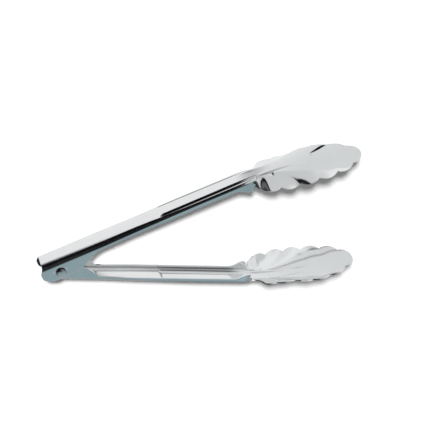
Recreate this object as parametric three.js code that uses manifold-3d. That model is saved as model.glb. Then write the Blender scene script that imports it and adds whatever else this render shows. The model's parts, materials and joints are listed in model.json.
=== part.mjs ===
// Serving tongs: two arms stamped from sheet steel, joined by one rivet and pushed open by a coil spring.
// Millimetres, +Z up. The tongs lie on their side, open, on the plane z = 0.
import * as THREE from 'three';
import Module from 'manifold-3d';
import { mergeVertices } from 'three/addons/utils/BufferGeometryUtils.js';

const wasm = await Module();
wasm.setup();

const degree = Math.PI / 180;
const quarterTurn = Math.PI / 2;
const fullTurn = Math.PI * 2;

// Sheet, clearances and cuts
const sheet = 0.9;
const runningGap = 0.3;
const pinGap = 0.1;
const stopGap = 0.2;
const cutOverrun = 2;

// How far the arms stand open at rest, from web to web
const openingAngle = 33.3 * degree;

// Channel section of the arms: width over the flanges, and depth of a flange from the back of the web
const armWidth = 14.6;
const hingeWidth = 15.8;
const flangeDepth = 4.2;
const hingeBendRadius = 3;
const armBendRadius = 1.7;
const pivotToBack = 9.4;
const hingeWidthEndsAt = 30;
const armWidthStartsAt = 62;
const hingeBendEndsAt = 45;
const armBendStartsAt = 108;

// Ears round the rivet
const outerWebBehindPivot = 10.9;
const outerEarBehindPivot = 13.8;
const innerEndBehindPivot = 7.6;
const earBackStopsBulging = 4;
const earDrop = 6.4;
const earCornerDrop = 0.4;
const earCornerLength = 6.8;
const earFlatAhead = 6;
const outerEarShoulderAhead = 17;
const outerEarToeAhead = 24;
const outerEarEndsAt = 33;
const innerEarShoulderAhead = 17;
const innerEarShoulderDrop = 4;
const innerEarToeAhead = 25.5;
const innerEarEndsAt = 30;

// Raised bead pressed along the back of each arm
const beadStartsAt = 79;
const beadRunIn = 3;
const beadHeight = 0.9;
const beadTopHalf = 3.3;
const beadStartTopHalf = 3.7;
const beadEndTopHalf = 2;
const beadWall = 1.1;
const neckToBeadFade = 20.8;
const neckToBeadEnd = 54.8;

// Neck: the flange deepens into a lobe that is cut off square, and the sheet beyond it folds out at once
const lobeStartsAt = 134;
const lobeRun = 11.2;
const lobeSquareRun = 2;
const lobeDepth = 9.1;
const lobeCornerRadius = 0.9;
const lobeLean = 86 * degree;
const notchWidth = 1.6;
const notchReach = 11;
const notchCorner = 0.6;
const neckRun = 2.5;
const neckFlat = 2.6;
const neckLean = 43.5 * degree;
const neckOpensOver = 6.7;
const wallLean = 27.6 * degree;

// Head: a scoop whose blank is an oval edged with scallops
const neckToOvalCentre = 36;
const ovalHalfLength = 46;
const ovalHalfWidth = 17.6;
const shoulderAngle = 131.6 * degree;
const lastCuspAngle = 31.2 * degree;
const lobesEachSide = 5;
const scallopRise = 2.85;
const tipRise = 8.3;
const shoulderReach = 12.5;
const shoulderCrown = 21.5;
const shoulderStartShare = 0.22;
const shoulderEndShare = 0.58;
const bowlRadius = 32;
const neckToFullBowl = 57.3;
const lobeToHeadBend = 3;
const headBendRadius = 192;
const fluteDepth = 0.75;
const fluteStartShare = 0.42;
const earBulgeFromShare = 0.35;
const earBulgeToShare = 0.8;
const neckToFan = 55.8;
const fanLag = 7;

// Rivet
const shankRadius = 2.2;
const rivetHeadRadius = 3.65;
const rivetRim = 0.45;
const rivetDome = 1.3;
const rivetTailRadius = 3.4;
const rivetTailDome = 1.05;

// Torsion spring
const wireDiameter = 1.4;
const springFullTurns = 3;
const coilToShankGap = 1.1;
const legLength = 21;

// Numbers of facets
const scallopSteps = 6;
const shoulderSteps = 10;
const tipSteps = 7;
const earSteps = 7;
const bendSteps = 3;
const roundSteps = 28;
const domeSteps = 5;
const curlSteps = 8;
const wireSides = 5;

// Worked out from the sizes above
const halfOpening = openingAngle / 2;
const midSheet = sheet / 2;
const lobeFullAt = lobeStartsAt + lobeRun;
const neckAt = lobeFullAt + lobeSquareRun;
const beadFadesFrom = neckAt + neckToBeadFade;
const beadEndsAt = neckAt + neckToBeadEnd;
const ovalCentreAt = neckAt + neckToOvalCentre;
const bowlFullAt = neckAt + neckToFullBowl;
const headBendStartsAt = lobeStartsAt + lobeToHeadBend;
const fanStartsAt = neckAt + neckToFan;
const innerHingeWidth = hingeWidth - 2 * (sheet + runningGap);
const boreRadius = shankRadius + pinGap;
const wireRadius = wireDiameter / 2;
const lengthStep = sheet / 100;

const clamp01 = (x) => Math.min(1, Math.max(0, x));
const mix = (a, b, share) => a + (b - a) * share;
const easeBetween = (from, to, x) => {
  const share = clamp01((x - from) / (to - from));
  return share * share * (3 - 2 * share);
};

// The section of a formed arm at a station: a flat, a bend and a straight wall, all on the middle of the sheet
function sectionAt(station, widthAtHinge) {
  const slim = easeBetween(hingeWidthEndsAt, armWidthStartsAt, station);
  const outerHalf = mix(widthAtHinge, armWidth, slim) / 2;
  const outerRadius = mix(hingeBendRadius, armBendRadius, easeBetween(hingeBendEndsAt, armBendStartsAt, station));
  const foldedAt = neckAt + neckRun;
  const fold = easeBetween(neckAt, foldedAt, station);
  const bowl = easeBetween(foldedAt, bowlFullAt, station);
  const flat = mix(outerHalf - outerRadius, neckFlat, fold) * (1 - bowl);
  const radius = mix(outerRadius - midSheet, bowlRadius, bowl);
  const lobeWall = mix(quarterTurn, lobeLean, easeBetween(lobeStartsAt, neckAt, station));
  const headWall = mix(neckLean, wallLean, easeBetween(foldedAt, foldedAt + neckOpensOver, station));
  const angle = mix(mix(lobeWall, headWall, fold), quarterTurn, bowl ** 2);
  return { flat, radius, angle };
}

// How far the blank reaches from its centre line for a flange of the given depth
function blankReach(station, depth, widthAtHinge) {
  const { flat, radius } = sectionAt(station, widthAtHinge);
  return flat + radius * quarterTurn + depth - midSheet - radius;
}

function beadTopAt(station) {
  const early = mix(beadStartTopHalf, beadTopHalf, easeBetween(beadStartsAt, neckAt, station));
  return mix(early, beadEndTopHalf, easeBetween(neckAt, beadEndsAt, station));
}

function beadRise(station, across) {
  const along = easeBetween(beadStartsAt, beadStartsAt + beadRunIn, station)
    * (1 - easeBetween(beadFadesFrom, beadEndsAt, station));
  const top = beadTopAt(station);
  return beadHeight * along * (1 - easeBetween(top, top + beadWall, Math.abs(across)));
}

// Middle of the formed sheet. x runs along the arm from the pivot, y towards the back, z across.
function formed(station, across, widthAtHinge) {
  const { flat, radius, angle } = sectionAt(station, widthAtHinge);
  const reach = Math.abs(across);
  const turned = Math.min(Math.max(reach - flat, 0) / radius, angle);
  const straight = Math.max(reach - flat - radius * angle, 0);
  const side = Math.min(reach, flat) + radius * Math.sin(turned) + straight * Math.cos(angle);
  const inward = radius * (1 - Math.cos(turned)) + straight * Math.sin(angle) - beadRise(station, across);
  const bent = Math.max(station - headBendStartsAt, 0) / headBendRadius;
  const x = Math.min(station, headBendStartsAt) + headBendRadius * Math.sin(bent) - inward * Math.sin(bent);
  const y = pivotToBack - midSheet - headBendRadius * (1 - Math.cos(bent)) - inward * Math.cos(bent);
  return new THREE.Vector3(x, y, Math.sign(across) * side);
}

function inwardNormal(station, across, widthAtHinge) {
  const along = formed(station + lengthStep, across, widthAtHinge)
    .sub(formed(station - lengthStep, across, widthAtHinge));
  const sideways = formed(station, across + lengthStep, widthAtHinge)
    .sub(formed(station, across - lengthStep, widthAtHinge));
  return along.cross(sideways).normalize();
}

// Half of the flat blank's outline from the hinge end to the tip, with the place of each point in its scallop
function blankOutline(arm) {
  const reach = (station, depth) => blankReach(station, depth, arm.widthAtHinge);
  const earDepth = pivotToBack + earDrop;
  const rows = [];
  const add = (point, scallopShare = 0) => rows.push({ station: point.x, reach: point.y, scallopShare });
  const addCurve = (curve, steps) => curve.getPoints(steps).forEach((point) => {
    add(new THREE.Vector2(point.x, reach(point.x, point.y)));
  });

  addCurve(arm.earBack(earDepth), earSteps);
  addCurve(arm.earFront(earDepth), earSteps + bendSteps);
  for (const station of [
    mix(hingeWidthEndsAt, armWidthStartsAt, 1 / 2), armWidthStartsAt, beadStartsAt,
    beadStartsAt + beadRunIn / 2, beadStartsAt + beadRunIn, mix(beadStartsAt + beadRunIn, lobeStartsAt, 1 / 2),
  ]) {
    add(new THREE.Vector2(station, reach(station, flangeDepth)));
  }
  addCurve(new THREE.CubicBezierCurve(
    new THREE.Vector2(lobeStartsAt, flangeDepth),
    new THREE.Vector2(mix(lobeStartsAt, lobeFullAt, 1 / 2), flangeDepth),
    new THREE.Vector2(mix(lobeStartsAt, lobeFullAt, 2 / 3), lobeDepth),
    new THREE.Vector2(lobeFullAt, lobeDepth),
  ), earSteps);
  const lobeReach = reach(neckAt, lobeDepth);
  new THREE.QuadraticBezierCurve(
    new THREE.Vector2(neckAt - lobeCornerRadius, lobeReach),
    new THREE.Vector2(neckAt, lobeReach),
    new THREE.Vector2(neckAt, lobeReach - lobeCornerRadius),
  ).getPoints(bendSteps).forEach((point) => add(point));
  add(new THREE.Vector2(neckAt + notchCorner / 2, notchReach + notchCorner * 2));
  add(new THREE.Vector2(neckAt + notchCorner, notchReach + notchCorner / 2));

  const cusps = new THREE.EllipseCurve(
    ovalCentreAt, 0, ovalHalfLength, ovalHalfWidth, shoulderAngle, lastCuspAngle, true,
  ).getSpacedPoints(lobesEachSide);
  const notchEnd = new THREE.Vector2(neckAt + notchWidth, notchReach);
  new THREE.CubicBezierCurve(
    notchEnd,
    new THREE.Vector2(mix(notchEnd.x, cusps[1].x, shoulderStartShare), shoulderReach),
    new THREE.Vector2(mix(notchEnd.x, cusps[1].x, shoulderEndShare), shoulderCrown),
    cusps[1],
  ).getPoints(shoulderSteps).forEach((point, step) => add(point, (step / shoulderSteps) % 1));
  for (let k = 1; k < lobesEachSide; k += 1) {
    const from = cusps[k];
    const to = cusps[k + 1];
    const chord = to.clone().sub(from);
    const outwards = new THREE.Vector2(-chord.y, chord.x).normalize();
    const radius = (chord.lengthSq() / 4 + scallopRise ** 2) / (2 * scallopRise);
    const centre = from.clone().add(to).multiplyScalar(1 / 2).addScaledVector(outwards, scallopRise - radius);
    const startAngle = from.clone().sub(centre).angle();
    const endAngle = to.clone().sub(centre).angle();
    for (let step = 1; step <= scallopSteps; step += 1) {
      const share = step / scallopSteps;
      const angle = mix(startAngle, endAngle, share);
      add(new THREE.Vector2(Math.cos(angle), Math.sin(angle)).multiplyScalar(radius).add(centre), share % 1);
    }
  }
  const lastCusp = cusps[lobesEachSide];
  for (let step = 1; step <= tipSteps; step += 1) {
    const share = step / tipSteps;
    const angle = quarterTurn * (1 - share);
    add(new THREE.Vector2(lastCusp.x + tipRise * Math.cos(angle), lastCusp.y * Math.sin(angle)), share / 2);
  }
  rows[rows.length - 1].reach = 0;
  return rows;
}

// Stations across one row: centre, bead, bend and edge lines, as places on the flat blank
function rowLines(row, widthAtHinge) {
  const { flat, radius, angle } = sectionAt(row.station, widthAtHinge);
  const beadTop = beadTopAt(row.station);
  const beadBase = beadTop + beadWall;
  const widest = Math.max(row.reach, beadBase + beadWall);
  const bendFrom = Math.max(flat, beadBase + beadWall / 2);
  const bendTo = Math.min(flat + radius * angle, mix(bendFrom, widest, 2 / 3));
  const lines = [0, beadTop / 2, beadTop, beadBase];
  for (let step = 0; step <= bendSteps; step += 1) {
    lines.push(mix(bendFrom, bendTo, step / bendSteps));
  }
  lines.push(mix(bendTo, widest, 1 / 2), widest);
  return lines.map((line) => line / widest);
}

// One arm as a closed solid: the blank's rows are formed, given their thickness, and mirrored across z
function stampedArm(arm) {
  const rows = blankOutline(arm);
  const tipStation = rows[rows.length - 1].station;
  const faces = rows.map((row) => {
    const lag = fanLag * clamp01((row.station - fanStartsAt) / (tipStation - fanStartsAt)) ** 2;
    const bulge = (arm.earBehindPivot - arm.webBehindPivot)
      * clamp01((row.station + earBackStopsBulging) / (earBackStopsBulging - arm.earBehindPivot));
    return rowLines(row, arm.widthAtHinge).map((share) => {
      const onEar = easeBetween(earBulgeFromShare, earBulgeToShare, share);
      const station = mix(row.station - lag, row.station, share) + bulge * (1 - onEar);
      const across = row.reach * share;
      const normal = inwardNormal(station, across, arm.widthAtHinge);
      const flute = fluteDepth * easeBetween(fluteStartShare, 1, share) * (1 - Math.cos(fullTurn * row.scallopShare)) / 2;
      const middle = formed(station, across, arm.widthAtHinge).addScaledVector(normal, -flute);
      return [-midSheet, midSheet].map((half) => middle.clone().addScaledVector(normal, half));
    });
  });

  const points = [];
  const indices = [];
  const known = new Map();
  const place = (point, mirrored) => {
    const z = Math.abs(point.z) < lengthStep / 10 ? 0 : point.z * (mirrored ? -1 : 1);
    const key = [point.x, point.y, z].map((value) => (value / lengthStep * 10).toFixed(0)).join();
    if (!known.has(key)) {
      known.set(key, points.length / 3);
      points.push(point.x, point.y, z);
    }
    return known.get(key);
  };
  const quad = (a, b, c, d) => {
    for (const mirrored of [false, true]) {
      const corners = [a, b, c, d].map((point) => place(point, mirrored));
      if (mirrored) corners.reverse();
      for (const triangle of [[0, 1, 2], [0, 2, 3]]) {
        const [p, q, r] = triangle.map((corner) => corners[corner]);
        if (p !== q && q !== r && r !== p) indices.push(p, q, r);
      }
    }
  };
  const last = faces[0].length - 1;
  for (let i = 0; i + 1 < faces.length; i += 1) {
    const [here, next] = [faces[i], faces[i + 1]];
    for (let j = 0; j < last; j += 1) {
      quad(here[j][0], here[j + 1][0], next[j + 1][0], next[j][0]);
      quad(here[j][1], next[j][1], next[j + 1][1], here[j + 1][1]);
    }
    quad(here[last][0], here[last][1], next[last][1], next[last][0]);
  }
  for (let j = 0; j < last; j += 1) {
    quad(faces[0][j][0], faces[0][j][1], faces[0][j + 1][1], faces[0][j + 1][0]);
  }
  const geometry = new THREE.BufferGeometry();
  geometry.setAttribute('position', new THREE.Float32BufferAttribute(points, 3));
  geometry.setIndex(indices);

  const bore = new THREE.CylinderGeometry(boreRadius, boreRadius, hingeWidth + 2 * cutOverrun, roundSteps);
  bore.rotateX(quarterTurn);
  return fromSolid(toSolid(geometry).subtract(toSolid(bore)));
}

function toSolid(geometry) {
  const bare = geometry.clone();
  bare.deleteAttribute('normal');
  bare.deleteAttribute('uv');
  const merged = mergeVertices(bare);
  return new wasm.Manifold(new wasm.Mesh({
    numProp: 3,
    vertProperties: new Float32Array(merged.attributes.position.array),
    triVerts: new Uint32Array(merged.index.array),
  }));
}

function fromSolid(solid) {
  const mesh = solid.getMesh();
  const geometry = new THREE.BufferGeometry();
  geometry.setAttribute('position', new THREE.BufferAttribute(mesh.vertProperties, 3));
  geometry.setIndex(new THREE.BufferAttribute(mesh.triVerts, 1));
  geometry.computeVertexNormals();
  return geometry;
}

// The outer arm's ears end in a round corner. The inner arm's are cut along the line on which they stop,
// flat against the inside of the outer arm's web.
const outerArm = {
  widthAtHinge: hingeWidth,
  webBehindPivot: outerWebBehindPivot,
  earBehindPivot: outerEarBehindPivot,
  earBack(earDepth) {
    return new THREE.QuadraticBezierCurve(
      new THREE.Vector2(-outerEarBehindPivot, pivotToBack - earCornerDrop),
      new THREE.Vector2(-outerEarBehindPivot, mix(pivotToBack, earDepth, 1 / 2)),
      new THREE.Vector2(-outerEarBehindPivot + earCornerLength, earDepth),
    );
  },
  earFront(earDepth) {
    return new THREE.CubicBezierCurve(
      new THREE.Vector2(earFlatAhead, earDepth),
      new THREE.Vector2(outerEarShoulderAhead, earDepth),
      new THREE.Vector2(outerEarToeAhead, flangeDepth),
      new THREE.Vector2(outerEarEndsAt, flangeDepth),
    );
  },
};
const innerArm = {
  widthAtHinge: innerHingeWidth,
  webBehindPivot: innerEndBehindPivot,
  earBehindPivot: innerEndBehindPivot,
  earBack(earDepth) {
    const innerBend = hingeBendRadius - sheet;
    const intoBend = Math.max(innerHingeWidth / 2 - (hingeWidth / 2 - hingeBendRadius), 0);
    const room = pivotToBack - hingeBendRadius + Math.sqrt(innerBend ** 2 - intoBend ** 2) - stopGap;
    const stopDepthAt = (x) => pivotToBack + (room + x * Math.sin(openingAngle)) / Math.cos(openingAngle);
    const stopEnd = (earDrop * Math.cos(openingAngle) - room) / Math.sin(openingAngle);
    return new THREE.QuadraticBezierCurve(
      new THREE.Vector2(-innerEndBehindPivot, stopDepthAt(-innerEndBehindPivot)),
      new THREE.Vector2(stopEnd, earDepth),
      new THREE.Vector2(mix(stopEnd, earFlatAhead, 1 / 2), earDepth),
    );
  },
  earFront(earDepth) {
    return new THREE.CubicBezierCurve(
      new THREE.Vector2(earFlatAhead, earDepth),
      new THREE.Vector2(innerEarShoulderAhead, pivotToBack + innerEarShoulderDrop),
      new THREE.Vector2(innerEarToeAhead, pivotToBack),
      new THREE.Vector2(innerEarEndsAt, flangeDepth),
    );
  },
};

function rivet() {
  const seat = hingeWidth / 2 + runningGap;
  const profile = new THREE.Path();
  profile.moveTo(0, -seat - rivetRim - rivetTailDome);
  profile.quadraticCurveTo(rivetTailRadius, -seat - rivetRim - rivetTailDome, rivetTailRadius, -seat - rivetRim);
  profile.lineTo(rivetTailRadius, -seat);
  profile.lineTo(shankRadius, -seat);
  profile.lineTo(shankRadius, seat);
  profile.lineTo(rivetHeadRadius, seat);
  profile.lineTo(rivetHeadRadius, seat + rivetRim);
  profile.quadraticCurveTo(rivetHeadRadius, seat + rivetRim + rivetDome, 0, seat + rivetRim + rivetDome);
  const geometry = new THREE.LatheGeometry(profile.getPoints(domeSteps), roundSteps);
  return geometry.rotateX(quarterTurn);
}

// The spring's wire: a leg on the outer arm's web, the coil round the rivet, a leg on the inner arm's web
class SpringWire extends THREE.Curve {
  constructor() {
    super();
    this.radius = shankRadius + coilToShankGap + wireRadius;
    const webLine = pivotToBack - sheet - runningGap - wireRadius;
    const legSlope = Math.atan2(legLength, this.radius);
    const toEnd = Math.hypot(legLength, this.radius);
    this.startAngle = halfOpening + Math.asin(webLine / toEnd) + legSlope;
    this.endAngle = fullTurn * (springFullTurns + 1) - this.startAngle;
    this.halfHeight = innerHingeWidth / 2 - hingeBendRadius - wireRadius / 2 + runningGap;
    this.coilLength = Math.hypot((this.endAngle - this.startAngle) * this.radius, 2 * this.halfHeight);
    this.total = this.coilLength + 2 * legLength;
  }

  onCoil(share) {
    const angle = mix(this.startAngle, this.endAngle, share);
    return new THREE.Vector3(
      this.radius * Math.cos(angle), this.radius * Math.sin(angle), mix(-this.halfHeight, this.halfHeight, share),
    );
  }

  getPoint(share) {
    const run = share * this.total;
    if (run < legLength) {
      const along = new THREE.Vector3(Math.sin(this.startAngle), -Math.cos(this.startAngle), 0);
      return this.onCoil(0).addScaledVector(along, legLength - run);
    }
    if (run > legLength + this.coilLength) {
      const along = new THREE.Vector3(-Math.sin(this.endAngle), Math.cos(this.endAngle), 0);
      return this.onCoil(1).addScaledVector(along, run - legLength - this.coilLength);
    }
    return this.onCoil((run - legLength) / this.coilLength);
  }
}

function torsionSpring() {
  const wire = new SpringWire();
  const pitch = 2 * wire.halfHeight / ((wire.endAngle - wire.startAngle) / fullTurn);
  const steps = Math.round(wire.total / (wire.radius * fullTurn / curlSteps));
  const ring = new THREE.Shape(new THREE.Path().absarc(0, 0, wireRadius, 0, fullTurn).getPoints(wireSides).slice(1));
  const geometry = new THREE.ExtrudeGeometry(ring, { steps, extrudePath: wire, bevelEnabled: false });
  const samples = curlSteps * curlSteps;
  let leastGap = Infinity;
  for (let i = 0; i <= samples; i += 1) {
    for (let j = i; j <= samples; j += 1) {
      const turnsApart = (j - i) / samples * (wire.endAngle - wire.startAngle) / fullTurn;
      const away = wire.onCoil(i / samples).distanceTo(wire.onCoil(j / samples)) - wireDiameter;
      if (turnsApart > 1 / 2) leastGap = Math.min(leastGap, away);
    }
  }
  console.log(`spring: pitch ${pitch.toFixed(2)} mm, least gap of the wire to itself ${leastGap.toFixed(2)} mm`);
  return geometry;
}

function polished(colour, roughness) {
  return new THREE.MeshStandardMaterial({ color: colour, metalness: 1, roughness });
}

function named(name, geometry, material) {
  const mesh = new THREE.Mesh(geometry, material);
  mesh.name = name;
  return mesh;
}

// Assembly round the pivot axis, before it is laid down
const tongs = new THREE.Group();
const upperSide = new THREE.Group();
upperSide.rotation.z = halfOpening;
upperSide.add(named('outer_arm', stampedArm(outerArm), polished('#d4d7d8', 0.14)));
const lowerSide = new THREE.Group();
lowerSide.rotation.z = -halfOpening;
const innerArmMesh = named('inner_arm', stampedArm(innerArm), polished('#d4d7d8', 0.14));
innerArmMesh.rotation.x = Math.PI;
lowerSide.add(innerArmMesh);
tongs.add(upperSide, lowerSide);
tongs.add(named('hinge_rivet', rivet(), polished('#b9bdbf', 0.2)));
tongs.add(named('torsion_spring', torsionSpring(), polished('#8d9092', 0.3)));

// Lay the tongs down: they lean on the rivet's tail and on the lowest scallop of each head
function layDown(group) {
  group.updateMatrixWorld(true);
  const tail = hingeWidth / 2 + runningGap + rivetRim + rivetTailDome;
  let lean = 0;
  group.traverse((object) => {
    if (!object.isMesh) return;
    const positions = object.geometry.attributes.position;
    for (let i = 0; i < positions.count; i += 1) {
      const point = new THREE.Vector3().fromBufferAttribute(positions, i).applyMatrix4(object.matrixWorld);
      if (point.x > neckAt) lean = Math.max(lean, Math.atan2(-point.z - tail, point.x));
    }
  });
  group.rotation.y = -lean;
  group.updateMatrixWorld(true);
  const box = new THREE.Box3().setFromObject(group, true);
  group.position.set(-(box.min.x + box.max.x) / 2, -(box.min.y + box.max.y) / 2, -box.min.z);
  const size = box.getSize(new THREE.Vector3());
  console.log(`box ${size.toArray().map((value) => value.toFixed(2)).join(' x ')} mm, lean ${(lean / degree).toFixed(3)} degrees`);
  console.log(`pivot ${group.position.toArray().map((value) => value.toFixed(4)).join(', ')} mm`);
}

const part = new THREE.Group();
part.add(tongs);
layDown(tongs);

export default part;
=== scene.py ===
"""Looks of the serving tongs: two pressed arms, a rivet and a coil spring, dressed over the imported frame."""

import json
import logging
import math
from dataclasses import dataclass, replace
from enum import Enum

import bpy
import numpy as np
from mathutils import Matrix, Quaternion, Vector


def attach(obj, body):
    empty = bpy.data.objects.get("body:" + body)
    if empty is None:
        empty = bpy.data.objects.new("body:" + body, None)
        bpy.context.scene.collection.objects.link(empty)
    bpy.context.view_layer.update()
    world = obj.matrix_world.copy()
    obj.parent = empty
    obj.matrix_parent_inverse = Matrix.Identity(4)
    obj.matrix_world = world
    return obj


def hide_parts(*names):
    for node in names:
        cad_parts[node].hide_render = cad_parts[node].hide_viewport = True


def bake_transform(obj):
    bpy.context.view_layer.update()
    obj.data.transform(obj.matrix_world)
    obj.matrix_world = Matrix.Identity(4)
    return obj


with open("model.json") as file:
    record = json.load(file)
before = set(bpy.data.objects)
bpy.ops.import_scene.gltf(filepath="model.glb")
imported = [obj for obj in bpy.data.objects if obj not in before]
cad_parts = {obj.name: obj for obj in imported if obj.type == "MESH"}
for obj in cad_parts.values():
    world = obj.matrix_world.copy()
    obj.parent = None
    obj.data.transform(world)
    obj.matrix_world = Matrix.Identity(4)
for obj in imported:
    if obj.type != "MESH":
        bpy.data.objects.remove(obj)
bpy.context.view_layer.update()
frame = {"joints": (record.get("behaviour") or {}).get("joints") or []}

LOG = logging.getLogger("tongs")
MM = 0.001
DEGREE = math.pi / 180
QUARTER_TURN = math.pi / 2
FULL_TURN = math.pi * 2
SMOOTH_BELOW = 40 * DEGREE
ROUND_ABOVE = 50 * DEGREE
MERGE_WITHIN = 0.0009
ROUNDING_STEPS = 2
PAINTED_SHADE = "painted_shade"
Pair = tuple[float, float]
Triple = tuple[float, float, float]
Colour = Triple
WHITE: Colour = (1.0, 1.0, 1.0)
BLACK: Colour = (0.0, 0.0, 0.0)
Amount = float | np.ndarray
Socket = bpy.types.NodeSocket
Piece = bpy.types.Object


class Slot(Enum):
    """Names of the record's material slots."""

    SHEET = "polished_sheet"
    RIVET = "rivet_steel"
    WIRE = "spring_wire"


class Side(Enum):
    """Which of the two arms a piece is: the value is the sign of its turn about the rivet."""

    OUTER = 1
    INNER = -1


def mix(start: Amount, end: Amount, share: Amount) -> Amount:
    """Return the value at a share of the way from start to end."""
    return start + (end - start) * share


def ease(start: Amount, end: Amount, place: Amount) -> Amount:
    """Return a smooth step from 0 to 1.

    Args:
        start: Place where the step begins.
        end: Place where it is complete.
        place: A number or an array of places.

    Returns:
        The step's value at each place.
    """
    share = np.clip((place - start) / (end - start), 0.0, 1.0)
    return share * share * (3 - 2 * share)


def bezier(points: list[Pair], steps: int) -> np.ndarray:
    """Return points along a Bezier curve of any degree.

    Args:
        points: The control points.
        steps: The number of equal steps.

    Returns:
        An array of steps + 1 points.
    """
    share = np.linspace(0, 1, steps + 1)[:, None]
    level = [np.array(point, float)[None, :] for point in points]
    while len(level) > 1:
        level = [mix(a, b, share) for a, b in zip(level, level[1:])]
    return level[0]


def enter(mode: str) -> None:
    """Switch the active piece to a mode."""
    bpy.ops.object.mode_set(mode=mode)


def extrude(by: Vector | Triple = (0, 0, 0)) -> None:
    """Extrude what is selected in the active piece, and move it."""
    bpy.ops.mesh.extrude_region_move(TRANSFORM_OT_translate={"value": by})


def rest_selection() -> None:
    """Leave edit mode and deselect everything."""
    if bpy.context.object is not None and bpy.context.object.mode != "OBJECT":
        enter("OBJECT")
    bpy.ops.object.select_all(action="DESELECT")


def pick(piece: Piece) -> None:
    """Make a piece the only selected and active one.

    Args:
        piece: The mesh object.
    """
    rest_selection()
    bpy.context.view_layer.objects.active = piece
    piece.select_set(True)


def edit_all(piece: Piece, threshold: float = MERGE_WITHIN) -> None:
    """Merge a piece's doubles and turn its faces outwards.

    Args:
        piece: The mesh object.
        threshold: Distance under which points are merged, in the piece's own unit.
    """
    pick(piece)
    enter("EDIT")
    bpy.ops.mesh.select_all(action="SELECT")
    bpy.ops.mesh.remove_doubles(threshold=threshold)
    bpy.ops.mesh.normals_make_consistent(inside=False)
    enter("OBJECT")


def apply_modifier(piece: Piece, kind: str, **settings: object) -> None:
    """Add a modifier with the given settings and apply it.

    Args:
        piece: The mesh object.
        kind: The modifier's type.
        settings: Values of the modifier's properties.
    """
    pick(piece)
    modifier = piece.modifiers.new(kind.title(), kind)
    for name, value in settings.items():
        setattr(modifier, name, value)
    bpy.ops.object.modifier_apply(modifier=modifier.name)


def finish_mesh(piece: Piece, place: Matrix) -> None:
    """Put a piece's place into its mesh, so that its object sits at the origin, then clean and smooth it.

    Args:
        piece: The mesh object.
        place: Its place in the row frame.
    """
    piece.data.transform(place @ piece.matrix_world)
    piece.matrix_world = Matrix.Identity(4)
    piece.data.update()
    edit_all(piece, MERGE_WITHIN * MM)
    pick(piece)
    bpy.ops.object.shade_smooth_by_angle(angle=SMOOTH_BELOW)


def wear(piece: Piece, finish: "Steel") -> None:
    """Give a piece a finish as its only material."""
    piece.data.materials.clear()
    piece.data.materials.append(finish.material())


def write_painted_shade(piece: Piece, painted_shade: np.ndarray) -> None:
    """Keep the painted shade of each point, 1 where none is painted, in a point attribute."""
    kept = piece.data.attributes.new(name=PAINTED_SHADE, type="FLOAT", domain="POINT")
    kept.data.foreach_set("value", painted_shade.astype(np.float32))


def points_and_normals(piece: Piece) -> tuple[np.ndarray, np.ndarray]:
    """Read a mesh's points and their normals.

    Args:
        piece: The mesh object.

    Returns:
        Two arrays of three numbers for each point.
    """
    count = len(piece.data.vertices)
    points, normals = np.empty(count * 3, np.float32), np.empty(count * 3, np.float32)
    piece.data.vertices.foreach_get("co", points)
    piece.data.vertices.foreach_get("normal", normals)
    return points.reshape(-1, 3), normals.reshape(-1, 3)


@dataclass(frozen=True)
class Hinge:
    """The rivet's axis in the row frame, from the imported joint."""

    pivot: Vector
    axis: Vector

    @classmethod
    def packed(cls) -> "Hinge":
        """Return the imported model's hinge."""
        joint = frame["joints"][0]
        return cls(Vector(joint["pos_m"]), Vector(joint["axis"]).normalized())

    def place(self) -> Matrix:
        """Work out where the tongs' own frame lies: x midway between the arms, z along the rivet, in millimetres.

        Returns:
            The matrix from it to the row frame.
        """
        sideways = Vector((0, 1, 0))
        along = sideways.cross(self.axis).normalized()
        turn = Matrix((along, sideways, self.axis)).transposed().to_4x4()
        return Matrix.Translation(self.pivot) @ turn @ Matrix.Scale(MM, 4)


def hang(name: str, data: bpy.types.ID, turn: Quaternion) -> Piece:
    """Add a camera or a lamp to the scene.

    Args:
        name: The object's name.
        data: Its camera or light.
        turn: Its rotation.

    Returns:
        The new object, at the origin.
    """
    made = bpy.data.objects.new(name, data)
    bpy.context.scene.collection.objects.link(made)
    made.rotation_mode = "QUATERNION"
    made.rotation_quaternion = turn
    return made


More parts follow.
